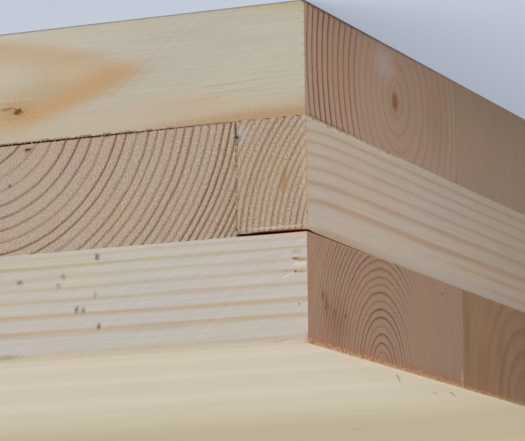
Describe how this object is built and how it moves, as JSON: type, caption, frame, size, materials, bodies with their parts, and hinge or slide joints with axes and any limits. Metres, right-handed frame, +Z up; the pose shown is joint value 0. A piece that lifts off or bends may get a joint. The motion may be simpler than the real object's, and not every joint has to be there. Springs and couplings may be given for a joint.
{
  "type": "cross-laminated timber panel",
  "caption": "Flat panel of planed spruce boards, laid edge to edge in crossed layers, glued face to face and sawn square at its edges.",
  "frame": {"origin": "centre of the underside, at floor level", "axes": "+X along the panel's length and the grain of the outer layers, +Y along its width and the grain of the middle layer, +Z up through its thickness to the sanded face"},
  "size_m": [2.4, 1.2, 0.09],
  "materials": {
    "spruce": "matte"
  },
  "bodies": {
    "root": {"bottom_board_01": "spruce", "bottom_board_02": "spruce", "bottom_board_03": "spruce", "bottom_board_04": "spruce", "bottom_board_05": "spruce", "bottom_board_06": "spruce", "bottom_board_07": "spruce", "bottom_board_08": "spruce", "bottom_board_09": "spruce", "cross_board_01": "spruce", "cross_board_02": "spruce", "cross_board_03": "spruce", "cross_board_04": "spruce", "cross_board_05": "spruce", "cross_board_06": "spruce", "cross_board_07": "spruce", "cross_board_08": "spruce", "cross_board_09": "spruce", "cross_board_10": "spruce", "cross_board_11": "spruce", "cross_board_12": "spruce", "cross_board_13": "spruce", "cross_board_14": "spruce", "cross_board_15": "spruce", "cross_board_16": "spruce", "cross_board_17": "spruce", "cross_board_18": "spruce", "top_board_01": "spruce", "top_board_02": "spruce", "top_board_03": "spruce", "top_board_04": "spruce", "top_board_05": "spruce", "top_board_06": "spruce", "top_board_07": "spruce", "top_board_08": "spruce", "top_board_09": "spruce"}
  },
  "joints": []
}
